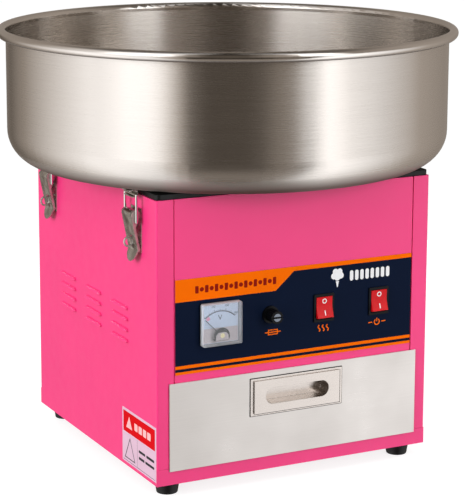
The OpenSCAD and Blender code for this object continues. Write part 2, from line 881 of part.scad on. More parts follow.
// Four bent heating rods, each on two ceramic posts
module heater_element() {
    color("dimgray") for (quarter = [0 : 90 : 270]) translate([0, 0, heater_z])
        rotate([0, 0, quarter + heater_gap_a / 2]) rotate_extrude(angle = 90 - heater_gap_a, $fn = 96)
            translate([heater_r, 0]) circle(heater_wire_r, $fn = 24);
    color("white") for (a = [22.5 : 45 : 360]) rotate([0, 0, a])
        translate([heater_r, 0, head_z1]) cylinder(h = heater_z - heater_wire_r - head_z1 - touch, r = 2.4);
}

module spinner_mesh() {
    color("lightgray") difference() {
        translate([0, 0, head_z1]) tube(mesh_r, mesh_r - mesh_t, mesh_h, $fn = 96);
        for (i = [0 : 17]) rotate([0, 0, 10 * i])
            between([-mesh_r - 1, -2, head_z1 + 8], [mesh_r + 1, 2, cap_z - 8]);
    }
}

module spinner_cap() {
    color("silver") difference() {
        union() {
            translate([0, 0, cap_z]) tube(head_r, cap_hole_r, cap_t, $fn = 96);
            translate([0, 0, cap_z - 6]) tube(head_r, head_r - 1.5, 6 + cap_t, $fn = 96);
            translate([0, 0, cap_z]) tube(cap_hole_r + 1.5, cap_hole_r, 7, $fn = 96);
        }
        each_head_screw() translate([0, 0, cap_z - 1]) cylinder(h = 5, r = screw_r + bolt_play);
    }
}

module each_head_screw() {
    for (i = [0 : head_screws - 1])
        rotate([0, 0, 360 / head_screws * i]) translate([head_screw_circle_r, 0, 0]) children();
}

module spinner_screws() {
    color("silver") each_head_screw() translate([0, 0, cap_z + cap_t]) mirror([0, 0, 1])
        screw(screw_r, cap_t + mesh_h, 3.6, 2.4);
}

// ---- bowl

// Half of a bowl's section, filled in to the axis
module bowl_section(r, corner, z0, z1) {
    translate([0, z0]) square([r - corner, z1 - z0]);
    translate([0, z0 + corner]) square([r, z1 - z0 - corner]);
    translate([r - corner, z0 + corner]) circle(corner, $fn = 96);
}

module bowl() {
    bead_z = bowl_h - bead_r;
    color("lightsteelblue") translate([0, 0, bowl_z0]) difference() {
        rotate_extrude($fn = 180) {
            difference() {
                bowl_section(bowl_wall_r, bowl_corner_r, 0, bead_z);
                bowl_section(bowl_wall_r - bowl_t, bowl_corner_r - bowl_t, bowl_t, bead_z + 1);
                translate([0, -1]) square([bowl_hole_d / 2, 2 * bowl_h]);
            }
            translate([bowl_r - bead_r, bead_z]) difference() {
                circle(bead_r);
                circle(bead_r - bead_t);
            }
            translate([bowl_hole_d / 2, 0]) square([bowl_t, collar_h - collar_bead_r]);
            translate([bowl_hole_d / 2 + collar_bead_r, collar_h - collar_bead_r]) circle(collar_bead_r);
        }
        for (side = [-1, 1], y = [-latch_y, latch_y]) each_catch_rivet(side, y)
            translate([0, 0, -1]) cylinder(h = 4, r = catch_rivet_r + touch);
    }
}

module each_catch_rivet(side, y) {
    for (dy = [-catch_rivet_y, catch_rivet_y])
        translate([side * (half + catch_rivet_x), y + dy, 0]) children();
}

// The hooks under the bowl that the bails pull down on, with their rivets
module bowl_catches() {
    top = bowl_z0;
    floor_top = bar_z - bail_r - slide_gap;
    color("silver") for (side = [0, 1], y = [-latch_y, latch_y]) mirror([side, 0, 0])
        translate([half, y, 0]) {
            difference() {
                union() {
                    between([catch_x0 - catch_t, -catch_w / 2, top - catch_t], [catch_x1, catch_w / 2, top]);
                    between([catch_x0 - catch_t, -catch_w / 2, floor_top - catch_t],
                            [catch_x0, catch_w / 2, top]);
                    between([catch_x0 - catch_t, -catch_w / 2, floor_top - catch_t],
                            [catch_floor_x1, catch_w / 2, floor_top]);
                }
                for (dy = [-catch_rivet_y, catch_rivet_y])
                    translate([catch_rivet_x, dy, top - 3]) cylinder(h = 4, r = catch_rivet_r + touch);
            }
            for (dy = [-catch_rivet_y, catch_rivet_y]) translate([catch_rivet_x, dy, top - catch_t]) {
                screw(catch_rivet_r, catch_t + bowl_t + catch_rivet_lift + 0.1, 2.4, 0.8);
                translate([0, 0, catch_t + bowl_t + catch_rivet_lift]) cylinder(h = 0.8, r = 2.4);
            }
        }
}

// ---- latches

// Puts a latch on one side panel: side is 1 on the right and -1 on the left
module at_latch(side, y) {
    mirror([side < 0 ? 1 : 0, 0, 0]) translate([half, y, 0]) children();
}

module latch_base() {
    difference() {
        union() {
            between([0, -lever_w / 2, staple_z - 11], [latch_t, lever_w / 2, pivot_z + 7]);
            for (s = [-1, 1]) translate([0, s * (ear_y + ear_t / 2) - ear_t / 2, 0]) {
                between([latch_t, 0, pivot_z - ear_r], [pivot_x, ear_t, pivot_z + ear_r]);
                rod_y(pivot_x, pivot_z, ear_r, 0, ear_t);
            }
        }
        rod_y(pivot_x, pivot_z, pin_r + touch, -lever_w, lever_w);
        for (z = [staple_z - 7.5, pivot_z - 13]) rod_x(0, z, 1.6 + touch, -1, latch_t + 1);
    }
    // Pivot pin
    rod_y(pivot_x, pivot_z, pin_r, -lever_w / 2 - 0.3, lever_w / 2 + 0.3);
    // Rivets
    for (z = [staple_z - 7.5, pivot_z - 13]) {
        rod_x(0, z, 1.6, 0, latch_t);
        rod_x(0, z, 2.8, latch_t, latch_t + 0.8);
    }
    // Padlock eye that stands out through the lever's slot
    translate([staple_x, 0, staple_z]) rotate([90, 0, 0]) rotate_extrude()
        translate([staple_r, 0]) circle(staple_wire_r, $fn = 24);
    rod_x(0, staple_z, staple_wire_r + 0.2, latch_t, staple_x - staple_r);
}

module latch_bases() {
    color("silver") for (side = [-1, 1], y = [-latch_y, latch_y]) at_latch(side, y) latch_base();
}

// A lever in its closed position: a plate rolled round its pin at the top and bent outwards at the tip,
// with a short cheek on each side that holds the bail. It is drawn from the side in x and z
module lever() {
    top_x = pivot_x + barrel_r;
    color("silver") difference() {
        union() {
            toward_front(lever_w / 2, lever_w)
                polygon([[top_x, pivot_z], [elbow_x, pivot_z - elbow_l],
                         [elbow_x + 4.6, pivot_z - lever_l], [elbow_x + 3.4, pivot_z - lever_l - 0.4],
                         [elbow_x - 1.5, pivot_z - elbow_l - 0.3], [top_x - lever_t, pivot_z - 0.3]]);
            rod_y(pivot_x, pivot_z, barrel_r, -barrel_y, barrel_y);
            for (y = [lever_w / 2, -lever_w / 2 + lever_t]) {
                rod_y(pivot_x, pivot_z, barrel_r, y - lever_t, y);
                // Folded edge
                toward_front(y, lever_t)
                    polygon([[top_x - 0.4, pivot_z - 1], [elbow_x - 0.2, pivot_z - elbow_l],
                             [elbow_x + 4, pivot_z - lever_l + 2], [elbow_x - edge_fold, pivot_z - elbow_l],
                             [top_x - edge_fold, pivot_z - 1]]);
                toward_front(y, lever_t)
                    polygon([[top_x - 0.5, pivot_z - 1], [pivot_x - 2, pivot_z - 1],
                             [pivot_x - 2.7, pivot_z - crank_l], [pivot_x - 1.6, pivot_z - crank_l - 3],
                             [pivot_x + 1.6, pivot_z - crank_l - 8.5]]);
            }
        }
        rod_y(pivot_x, pivot_z, pin_r + touch, -lever_w, lever_w);
        for (s = [-1, 1]) translate([0, s * lever_w / 2, 0])
            rod_y(pivot_x, pivot_z - crank_l, bail_r + touch, -lever_t - 0.5, lever_t + 0.5);
        between([-pivot_x, -slot_w / 2, staple_z - slot_half_l],
                [3 * pivot_x, slot_w / 2, staple_z + slot_half_l]);
        // Rounds the tip
        difference() {
            between([-5, -lever_w, pivot_z - lever_l - 2], [2 * lever_w, lever_w, tip_z]);
            rod_x(0, tip_z, tip_r, -10, 3 * lever_w);
        }
    }
}

// A bail: a loop of wire whose ends turn in through the lever's cheeks
module bail() {
    low_z = pivot_z - crank_l;
    color("silver") {
        rod_y(pivot_x, bar_z, bail_r, -bail_y, bail_y);
        for (s = [-1, 1]) {
            translate([pivot_x, s * bail_y, low_z]) cylinder(h = bail_l, r = bail_r);
            translate([pivot_x, s * bail_y, low_z]) sphere(bail_r);
            translate([pivot_x, s * bail_y, bar_z]) sphere(bail_r);
            translate([pivot_x, s * bail_y, low_z]) rotate([s * 90, 0, 0])
                cylinder(h = bail_y - lever_w / 2 + lever_t + 0.3, r = bail_r);
        }
    }
}

module front_left_lever() { at_latch(-1, -latch_y) lever(); }
module rear_left_lever() { at_latch(-1, latch_y) lever(); }
module front_right_lever() { at_latch(1, -latch_y) lever(); }
module rear_right_lever() { at_latch(1, latch_y) lever(); }
module front_left_bail() { at_latch(-1, -latch_y) bail(); }
module rear_left_bail() { at_latch(-1, latch_y) bail(); }
module front_right_bail() { at_latch(1, -latch_y) bail(); }
module rear_right_bail() { at_latch(1, latch_y) bail(); }

base_pan();
left_side_panel();
right_side_panel();
rear_panel();
front_panel();
top_plate();
top_gasket();
control_overlay();
side_label();
feet();
cabinet_screws();
cable_gland();
terminal_block();
drive_deck();
drawer_runners();
meter_housing();
meter_dial();
meter_cover();
meter_needle();
heat_switch_body();
power_switch_body();
heat_rocker();
power_rocker();
fuse_holder();
fuse_link();
fuse_cap();
motor_isolators();
motor_plate();
motor_housing();
motor_stator();
motor_rotor();
motor_pulley();
drive_belt();
driven_pulley();
bearing_housing();
bearing_outer_rings();
bearing_inner_rings();
spinner_shaft();
slip_rings();
brush_holder();
brushes();
spinner_base();
heater_element();
spinner_mesh();
spinner_cap();
spinner_screws();
drawer_box();
drawer_front();
drawer_handle();
latch_bases();
front_left_lever();
rear_left_lever();
front_right_lever();
rear_right_lever();
front_left_bail();
rear_left_bail();
front_right_bail();
rear_right_bail();
bowl();
bowl_catches();
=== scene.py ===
"""Looks, camera and light for the candy floss machine. Its prints and fine trim are built here."""
import math

import bmesh
import bpy
from mathutils import Matrix, Vector
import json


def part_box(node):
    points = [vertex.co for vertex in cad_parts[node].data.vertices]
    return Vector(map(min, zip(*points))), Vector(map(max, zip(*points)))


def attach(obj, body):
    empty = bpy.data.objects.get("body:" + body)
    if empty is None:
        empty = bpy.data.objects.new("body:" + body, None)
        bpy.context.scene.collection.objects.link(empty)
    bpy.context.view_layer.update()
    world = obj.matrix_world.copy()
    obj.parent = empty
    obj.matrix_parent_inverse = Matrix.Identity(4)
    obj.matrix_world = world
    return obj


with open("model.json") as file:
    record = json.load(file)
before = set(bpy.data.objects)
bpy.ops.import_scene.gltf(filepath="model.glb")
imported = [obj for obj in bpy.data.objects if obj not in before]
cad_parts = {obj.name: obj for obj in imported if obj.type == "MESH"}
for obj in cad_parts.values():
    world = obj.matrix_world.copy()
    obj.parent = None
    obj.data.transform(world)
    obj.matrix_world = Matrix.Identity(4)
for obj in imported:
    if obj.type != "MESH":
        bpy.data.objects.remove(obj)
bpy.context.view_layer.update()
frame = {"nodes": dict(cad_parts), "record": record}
NODES = frame["nodes"]
MM = 0.001
scene = bpy.context.scene


# ---- camera

CAMERA_AT = (-0.9804, -1.9251, 0.7216)
CAMERA_AZIMUTH = math.radians(-26.68)
CAMERA_ELEVATION = math.radians(10.78)
CAMERA_ROLL = math.radians(0.13)
CAMERA_LENS = 137.88
CAMERA_SHIFT = (0.0336, -0.15)


def make_camera():
    az, el, roll = CAMERA_AZIMUTH, CAMERA_ELEVATION, CAMERA_ROLL
    back = Vector((math.sin(az) * math.cos(el), -math.cos(az) * math.cos(el), math.sin(el)))
    level = Vector((math.cos(az), math.sin(az), 0))
    upright = back.cross(level)
    right = level * math.cos(roll) + upright * math.sin(roll)
    up = upright * math.cos(roll) - level * math.sin(roll)
    data = bpy.data.cameras.new("camera")
    camera = bpy.data.objects.new("camera", data)
    scene.collection.objects.link(camera)
    turn = Matrix((right, up, back)).transposed().to_4x4()
    camera.matrix_world = Matrix.Translation(CAMERA_AT) @ turn
    data.sensor_width = 36
    data.lens = CAMERA_LENS
    data.shift_x, data.shift_y = CAMERA_SHIFT
    data.clip_end = 50
    scene.camera = camera


make_camera()


# ---- shader nodes

def srgb(r, g, b):
    """A linear colour from 0-255 display values."""
    def linear(v):
        v /= 255
        return v / 12.92 if v <= 0.04045 else ((v + 0.055) / 1.055) ** 2.4
    return linear(r), linear(g), linear(b), 1.0


def darker(colour, amount):
    return tuple(c * (1 - amount) for c in colour[:3]) + (1.0,)


class NodeTree:
    """Short calls that add nodes. Wherever a value goes in, another node's output may go in instead."""

    def __init__(self, tree):
        self.tree = tree

    def add(self, kind, inputs=None, **props):
        node = self.tree.nodes.new(kind)
        for name, value in props.items():
            setattr(node, name, value)
        for key, value in (inputs or {}).items():
            if isinstance(value, bpy.types.NodeSocket):
                self.tree.links.new(value, node.inputs[key])
            else:
                node.inputs[key].default_value = value
        return node

    def math(self, operation, *values):
        return self.add("ShaderNodeMath", dict(enumerate(values)), operation=operation).outputs[0]

    def split(self, vector):
        """The three parts of a vector."""
        return self.add("ShaderNodeSeparateXYZ", {0: vector}).outputs

    def remap(self, value, low, high, start=0.3, end=0.7):
        """Runs from low to high while the value runs from start to end."""
        return self.add("ShaderNodeMapRange", {
            "Value": value, "From Min": start, "From Max": end, "To Min": low, "To Max": high}).outputs[0]

    def mixed(self, fac, a, b):
        return self.add("ShaderNodeMix", {0: fac, 2: a, 3: b}).outputs[0]

    def mixed_colours(self, fac, a, b, blend="MIX"):
        inputs = {0: fac, 6: a, 7: b}
        return self.add("ShaderNodeMix", inputs, data_type="RGBA", blend_type=blend).outputs[2]


class Shade(NodeTree):
    """A Principled material. Texture sizes and bump heights are in millimetres."""

    def __init__(self, name, colour, rough, metal=0.0, **sockets):
        self.mat = bpy.data.materials.new(name)
        self.mat.use_nodes = True
        super().__init__(self.mat.node_tree)
        self.bsdf = self.tree.nodes["Principled BSDF"]
        self.colour = colour
        values = {"Base Color": colour, "Roughness": rough, "Metallic": metal}
        values.update({key.replace("_", " "): value for key, value in sockets.items()})
        for key, value in values.items():
            self.bsdf.inputs[key].default_value = value
        self.place = self.add("ShaderNodeTexCoord").outputs["Object"]

    def put(self, socket, value):
        self.tree.links.new(value, self.bsdf.inputs[socket])

    def stretched(self, size, coords=None):
        """Coordinates in which a texture's features have this size, along all axes or each of the three."""
        sizes = size if isinstance(size, tuple) else (size, size, size)
        scale = [1 / (s * MM) for s in sizes]
        return self.add("ShaderNodeMapping", {"Vector": coords or self.place, "Scale": scale}).outputs[0]

    def noise(self, size, detail=2, coords=None, rough=0.5):
        return self.add("ShaderNodeTexNoise", {
            "Vector": self.stretched(size, coords), "Scale": 1.0, "Detail": detail,
            "Roughness": rough}).outputs["Fac"]

    def round_axis(self, spread):
        """Coordinates that run round Z: arc at a nominal radius, distance from the axis, and height."""
        x, y, z = self.split(self.place)
        arc = self.math("MULTIPLY", self.math("ARCTAN2", y, x), spread)
        flat = self.add("ShaderNodeCombineXYZ", {0: x, 1: y}).outputs[0]
        radius = self.add("ShaderNodeVectorMath", {0: flat}, operation="LENGTH").outputs["Value"]
        return self.add("ShaderNodeCombineXYZ", {0: arc, 1: radius, 2: z}).outputs[0]

    def facing(self):
        """The three parts of the way that the surface faces."""
        return self.split(self.add("ShaderNodeNewGeometry").outputs["Normal"])

    def brush_round_z(self):
        """Stretches the highlights as brushing round the Z axis does."""
        self.put("Tangent", self.add("ShaderNodeTangent", direction_type="RADIAL", axis="Z").outputs[0])

    def vary(self, fac, amount):
        """The base colour gets darker by this share where fac is low."""
        low = darker(self.colour, amount)
        self.put("Base Color", self.mixed_colours(self.remap(fac, 0, 1), low, self.colour))

    def relief(self, *layers):
        """Bumps, each a texture and its height."""
        normal = None
        for height, depth in layers:
            inputs = {"Height": height, "Distance": depth * MM, "Strength": 1.0}
            if normal:
                inputs["Normal"] = normal
            normal = self.add("ShaderNodeBump", inputs).outputs[0]
        self.put("Normal", normal)


# ---- materials

def powder_coat():
    shade = Shade("pink_powder_coat", srgb(246, 58, 130), 0.34, Specular_IOR_Level=0.4, Coat_Weight=0.2,
                  Coat_Roughness=0.2)
    shade.vary(shade.noise(90, 3), 0.05)
    shade.put("Roughness", shade.remap(shade.noise(14, 3), 0.3, 0.4))
    shade.relief((shade.noise(1.6), 0.018), (shade.noise(160, 1), 0.35))
    return shade.mat


def brushed(name, colour, rough, line, depth, smudge=0.05):
    """Sheet steel with brush lines drawn out along the largest of the three line sizes."""
    shade = Shade(name, colour, rough, 1.0)
    lines = shade.noise(line, 3, rough=0.6)
    shade.vary(lines, 0.06)
    clouds = shade.remap(shade.noise(55, 3), -smudge, smudge)
    shade.put("Roughness", shade.math("ADD", shade.remap(lines, rough - 0.04, rough + 0.04), clouds))
    shade.relief((lines, depth), (shade.noise(120, 1), 0.15))
    return shade.mat


def turned(name, colour, rough, line, depth, anisotropy, waves, spread):
    """Metal turned round the Z axis: fine lines of this width and depth, and broad waves of this depth."""
    shade = Shade(name, colour, rough, 1.0, Anisotropic=anisotropy, Anisotropic_Rotation=0.25)
    shade.brush_round_z()
    coords = shade.round_axis(spread)
    lines = shade.noise((25, line, line), 3, coords, 0.65)
    shade.vary(lines, 0.08)
    broad = shade.noise((60, 60, 400), 2, coords)
    shade.put("Roughness", shade.math("ADD", shade.remap(lines, rough - 0.05, rough + 0.05),
                                      shade.remap(broad, -0.03, 0.03)))
    shade.relief((lines, depth), (broad, waves))
    return shade.mat


def bowl_steel():
    """Brushed round the wall, polished on the rolled rim, and dull where the bottom turns under, where
    painted shade also makes it a grey-brown that mirrors little.
    """
    rim_height, rim_blend = 9.5 * MM, 0.8 * MM
    rim_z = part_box("bowl")[1].z - rim_height
    shade = Shade("bowl_brushed_stainless", srgb(216, 210, 203), 0.25, 1.0, Anisotropic=1.0,
                  Anisotropic_Rotation=0.25)
    shade.brush_round_z()
    coords = shade.round_axis(0.2)
    lines = shade.noise((40, 0.4, 0.4), 3, coords, 0.65)
    broad = shade.noise((60, 60, 400), 2, coords)
    rim = shade.remap(shade.split(shade.place)[2], 0, 1, rim_z, rim_z + rim_blend)
    # Painted shade: faces that look down turn grey-brown and mirror less
    under = shade.remap(shade.facing()[2], 1, 0, -0.85, -0.5)

    rough = shade.math("ADD", shade.remap(lines, 0.22, 0.29), shade.remap(broad, -0.02, 0.02))
    polished, dull = 0.13, 0.5
    shade.put("Roughness", shade.mixed(under, shade.mixed(rim, rough, polished), dull))
    shade.put("Metallic", shade.mixed(under, 1.0, 0.25))
    steel = shade.mixed_colours(shade.remap(lines, 0, 1), darker(shade.colour, 0.04), shade.colour)
    shade.put("Base Color", shade.mixed_colours(under, steel, srgb(116, 104, 96)))
    grain = shade.math("MULTIPLY", lines, shade.math("SUBTRACT", 1.0, rim))
    shade.relief((grain, 0.0005), (broad, 0.08))
    return shade.mat


def pressed_steel():
    shade = Shade("bright_pressed_steel", srgb(204, 199, 191), 0.22, 1.0)
    shade.vary(shade.noise(9, 3), 0.32)
    shade.put("Roughness", shade.remap(shade.noise((3, 3, 6), 3), 0.16, 0.32))
    # Cut and folded edges face along Y. Painted highlight: they mirror less than the pressed faces and stay
    # pale, so the lamps light them as a bright line
    edge = shade.remap(shade.math("ABSOLUTE", shade.facing()[1]), 0, 1, 0.6, 0.9)
    shade.put("Metallic", shade.mixed(edge, 1.0, 0.2))
    shade.relief((shade.noise(18, 1), 3.0), (shade.noise(5), 0.06), (shade.noise((0.5, 0.5, 3)), 0.006))
    return shade.mat


def galvanised():
    shade = Shade("galvanised_sheet", srgb(196, 200, 202), 0.38, 0.95)
    cells = shade.add("ShaderNodeTexVoronoi", {"Vector": shade.stretched(9), "Scale": 1.0})
    grey = shade.add("ShaderNodeSeparateColor", {0: cells.outputs["Color"]}).outputs[0]
    shade.vary(grey, 0.22)
    shade.put("Roughness", shade.remap(grey, 0.28, 0.46, 0, 1))
    shade.relief((shade.noise(2), 0.01))
    return shade.mat


def rubber(name, colour, rough, grain):
    shade = Shade(name, colour, rough, Specular_IOR_Level=0.28)
    shade.vary(shade.noise(6, 3), 0.35)
    shade.put("Roughness", shade.remap(shade.noise(12), rough - 0.08, rough + 0.08))
    shade.relief((shade.noise(grain), 0.03), (shade.noise(8), 0.15))
    return shade.mat


def moulded(name, colour, rough, grain=0.5, depth=0.02, **sockets):
    shade = Shade(name, colour, rough, **sockets)
    shade.vary(shade.noise(20), 0.12)
    shade.put("Roughness", shade.remap(shade.noise(5), rough - 0.05, rough + 0.05))
    shade.relief((shade.noise(grain, 1), depth))
    return shade.mat


def red_rocker_plastic():
    shade = Shade("translucent_red_plastic", srgb(208, 6, 18), 0.22, Specular_IOR_Level=0.16,
                  Coat_Weight=0.04, Coat_Roughness=0.06)
    shade.vary(shade.noise(9), 0.12)
    shade.put("Roughness", shade.remap(shade.noise(2), 0.18, 0.28))
    shade.relief((shade.noise(0.8, 1), 0.006))
    return shade.mat


def clear_plastic():
    shade = Shade("clear_polystyrene", srgb(236, 240, 244), 0.06, IOR=1.5, Alpha=0.2)
    facing = shade.add("ShaderNodeLayerWeight", {"Blend": 0.35}).outputs["Facing"]
    shade.put("Alpha", shade.remap(facing, 0.05, 0.7, 0.05, 0.9))
    shade.relief((shade.noise(18, 1), 0.05))
    return shade.mat


def printed(name, colour, rough=0.5, shine=0.12):
    """Ink on film, with the film's fine texture."""
    shade = Shade(name, colour, rough, Specular_IOR_Level=shine)
    shade.vary(shade.noise(30, 3), 0.06)
    shade.relief((shade.noise(0.35, 1), 0.006), (shade.noise(70, 1), 0.12))
    return shade.mat


def winding():
    shade = Shade("copper_winding", srgb(190, 110, 60), 0.32, 0.9)
    inputs = {"Vector": shade.stretched((4, 4, 0.9)), "Scale": 1.0, "Distortion": 0.4}
    wires = shade.add("ShaderNodeTexWave", inputs, bands_direction="Z").outputs["Fac"]
    shade.vary(wires, 0.5)
    shade.relief((wires, 0.3))
    return shade.mat


def hot_wire():
    shade = Shade("oxidised_resistance_wire", srgb(120, 110, 104), 0.5, 0.8)
    shade.vary(shade.noise(3, 3), 0.5)
    shade.relief((shade.noise(0.6), 0.02))
    return shade.mat


# By the record's material slots
MATERIALS = {
    "pink_paint": powder_coat(),
    "gasket_rubber": rubber("gasket_rubber_sheet", srgb(14, 17, 17), 0.46, 0.8),
    "overlay_print": printed("navy_film", srgb(11, 22, 44), 0.5, 0.04),
    "label_print": printed("pale_label_film", srgb(222, 188, 208), 0.45, 0.2),
    "foot_rubber": rubber("foot_rubber_moulded", srgb(15, 15, 16), 0.5, 0.6),
    "screw_steel": brushed("zinc_plated_steel", srgb(190, 192, 196), 0.3, 2, 0.003),
    "black_plastic": moulded("black_moulded_plastic", srgb(8, 9, 12), 0.36, Specular_IOR_Level=0.14),
    "ivory_plastic": moulded("ivory_moulded_plastic", srgb(226, 220, 200), 0.45),
    "galvanised_steel": galvanised(),
    "dial_print": printed("dial_card", srgb(190, 206, 230), 0.6, 0.2),
    "clear_plastic": clear_plastic(),
    "needle_paint": moulded("needle_black", srgb(22, 22, 24), 0.5, depth=0.004),
    "red_plastic": red_rocker_plastic(),
    "fuse_metal": brushed("nickel_plated_cap", srgb(205, 203, 196), 0.22, (3, 1, 3), 0.002),
    "motor_paint": moulded("grey_hammered_paint", srgb(96, 102, 110), 0.4, 2.5, 0.08),
    "winding_copper": winding(),
    "shaft_steel": turned("ground_steel", srgb(176, 176, 180), 0.2, 0.2, 0.002, 0.5, 0.02, 0.02),
    "cast_aluminium": turned("turned_aluminium", srgb(206, 207, 209), 0.3, 0.3, 0.004, 0.6, 0.05, 0.06),
    "belt_rubber": rubber("belt_rubber_ribbed", srgb(30, 30, 31), 0.65, 0.5),
    "ring_brass": turned("turned_brass", srgb(214, 168, 84), 0.25, 0.2, 0.003, 0.5, 0.02, 0.02),
    "brown_plastic": moulded("phenolic_board", srgb(92, 52, 30), 0.5, 1.2, 0.03),
    "carbon": moulded("carbon_block", srgb(34, 34, 36), 0.45, 0.4, 0.02),
    "heater_metal": hot_wire(),
    "brushed_stainless": brushed("drawer_brushed_stainless", srgb(206, 201, 196), 0.34, (60, 3, 0.6),
                                 0.0015),
    "handle_stainless": brushed("pull_satin_stainless", srgb(202, 194, 187), 0.26, (30, 4, 0.6), 0.0006,
                                smudge=0.02),
    "latch_steel": pressed_steel(),
    "wire_steel": brushed("polished_wire", srgb(238, 235, 230), 0.14, 2, 0.001, smudge=0.02),
    "bowl_stainless": bowl_steel(),
}
WORN_NICKEL = brushed("worn_nickel", srgb(120, 126, 136), 0.3, (3, 1, 3), 0.003)
PRINT_ORANGE = printed("orange_ink", srgb(255, 112, 0), 0.5, 0.04)
PRINT_MAROON = printed("maroon_ink", srgb(142, 24, 8), 0.5, 0.06)
PRINT_WHITE = printed("white_ink", srgb(246, 247, 249))
PRINT_BLACK = printed("black_ink", srgb(36, 36, 42))
PRINT_RED = printed("red_ink", srgb(214, 4, 18), 0.45, 0.05)
PRINT_PALE = printed("pale_pink_ink", srgb(255, 190, 190))
PRINT_ROSE = printed("rose_ink", srgb(222, 150, 182))
PRINT_MAUVE = printed("mauve_grey_ink", srgb(186, 178, 184))
PRINT_YELLOW = printed("pale_yellow_paint", srgb(232, 224, 176), 0.4)


# ---- CAD nodes

# How far the edges of bent sheet and moulded plastic are rounded, in millimetres
SOFT_EDGES = {
    "front_panel": 0.45, "top_plate": 0.4, "drawer_front": 0.45, "base_pan": 0.35, "rear_panel": 0.3,
    "left_side_panel": 0.3, "right_side_panel": 0.3, "top_gasket": 0.6, "feet": 0.8,
    "meter_housing": 0.25, "meter_cover": 0.5, "meter_needle": 0.1,
    "heat_switch_body": 0.4, "power_switch_body": 0.4, "heat_rocker": 0.5, "power_rocker": 0.5,
    "front_left_lever": 0.5, "rear_left_lever": 0.5, "front_right_lever": 0.5, "rear_right_lever": 0.5,
    "drawer_box": 0.3, "drawer_handle": 0.25, "drive_deck": 0.3, "terminal_block": 0.4,
    "brush_holder": 0.4, "motor_plate": 0.4,
}


def round_edges(piece, width):
    """Joins the faces of a flat, so that only real edges get a rounding this many millimetres wide."""
    mesh = piece.data
    for layer in ("custom_normal", "sharp_edge"):
        if layer in mesh.attributes:
            mesh.attributes.remove(mesh.attributes[layer])
    mesh.shade_smooth()
    weld = piece.modifiers.new("weld", "WELD")
    weld.merge_threshold = 1e-6
    flat = piece.modifiers.new("flat", "DECIMATE")
    flat.decimate_type = "DISSOLVE"
    flat.angle_limit = math.radians(0.5)
    bevel = piece.modifiers.new("edges", "BEVEL")
    bevel.width = width * MM
    bevel.segments = 2
    bevel.limit_method = "ANGLE"
    bevel.angle_limit = math.radians(32)
    bevel.use_clamp_overlap = True
    piece.modifiers.new("normals", "WEIGHTED_NORMAL").keep_sharp = True


def dress_nodes():
    slots = {part["node"]: part["material_slot"] for part in frame["record"]["subparts"]}
    for name, piece in NODES.items():
        for holder in piece.material_slots:
            holder.material = MATERIALS[slots[name]]
        if name in SOFT_EDGES:
            round_edges(piece, SOFT_EDGES[name])


dress_nodes()


# ---- flat shapes, drawn in millimetres with x to the right and z up

def on_circle(cx, cz, r, degrees):
    a = math.radians(degrees)
    return cx + r * math.cos(a), cz + r * math.sin(a)


def rect(x0, z0, x1, z1):
    return [(x0, z0), (x1, z0), (x1, z1), (x0, z1)]


def rounded_rect(x0, z0, x1, z1, r):
    steps = 5
    points = []
    corners = ((x1 - r, z1 - r), (x0 + r, z1 - r), (x0 + r, z0 + r), (x1 - r, z0 + r))
    for quarter, (cx, cz) in enumerate(corners):
        points += [on_circle(cx, cz, r, 90 * quarter + 90 * i / steps) for i in range(steps + 1)]
    return points


def block(cx, cz, width, height, r):
    """A rounded rectangle about its centre."""
    return rounded_rect(cx - width / 2, cz - height / 2, cx + width / 2, cz + height / 2, r)


def block_row(left, cz, count, width, height, gap, r):
    """Equal blocks side by side, centred on one height."""
    return [block(left + width / 2 + (width + gap) * i, cz, width, height, r) for i in range(count)]


def disc(cx, cz, r, n=32):
    return [on_circle(cx, cz, r, 360 * i / n) for i in range(n)]


def arc_band(cx, cz, r_in, r_out, start, end, n):
    """A band between two radii as quads. Angles are in degrees from +x."""
    quads = []
    for i in range(n):
        a, b = (start + (end - start) * k / n for k in (i, i + 1))
        quads.append([on_circle(cx, cz, r_in, a), on_circle(cx, cz, r_out, a),
                      on_circle(cx, cz, r_out, b), on_circle(cx, cz, r_in, b)])
    return quads


def stroke(points, width):
    """A line of even width along points that turn gently, as quads."""
    sides = []
    for i, point in enumerate(points):
        before = Vector(points[max(i - 1, 0)])
        after = Vector(points[min(i + 1, len(points) - 1)])
        along = (after - before).normalized()
        across = Vector((-along.y, along.x)) * width / 2
        sides.append((Vector(point) - across, Vector(point) + across))
    return [[tuple(a[0]), tuple(b[0]), tuple(b[1]), tuple(a[1])] for a, b in zip(sides, sides[1:])]


def closed_stroke(points, width):
    """A line of even width just inside a convex outline that is drawn anticlockwise, as quads."""
    inner = []
    n = len(points)
    for i in range(n):
        corner, before, after = Vector(points[i]), Vector(points[i - 1]), Vector(points[(i + 1) % n])
        u, v = (before - corner).normalized(), (after - corner).normalized()
        bisector = (u + v).normalized()
        sine = max(abs(u.x * bisector.y - u.y * bisector.x), 0.2)
        inner.append(tuple(corner + bisector * width / sine))
    return [[points[i], points[(i + 1) % n], inner[(i + 1) % n], inner[i]] for i in range(n)]


# ---- prints: flat shapes laid on a face, which turns x and z in millimetres into a point in metres

def front_face(y):
    """A face that looks along -Y."""
    def face(x, z):
        return x * MM, y * MM, z * MM
    return face


def place_print(name, mesh, material, body):
    mesh.materials.append(material)
    piece = bpy.data.objects.new(name, mesh)
    scene.collection.objects.link(piece)
    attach(piece, body)


def lay_print(name, shapes, material, face, body="cabinet"):
    bm = bmesh.new()
    for shape in shapes:
        bm.faces.new([bm.verts.new(face(x, z)) for x, z in shape])
    mesh = bpy.data.meshes.new(name)
    bm.to_mesh(mesh)
    bm.free()
    place_print(name, mesh, material, body)


def box_mm(node):
    """The low and high corners of a node's box, and its middle, in millimetres."""
    low, high = (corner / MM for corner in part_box(node))
    return low, high, (low + high) / 2


# How far a print stands off the panel and the label, the dial, the moving pieces, and anything else
INK = 0.06
DIAL_INK = 0.04
SWITCH_INK = 0.08
THIN_INK = 0.05


# ---- control panel

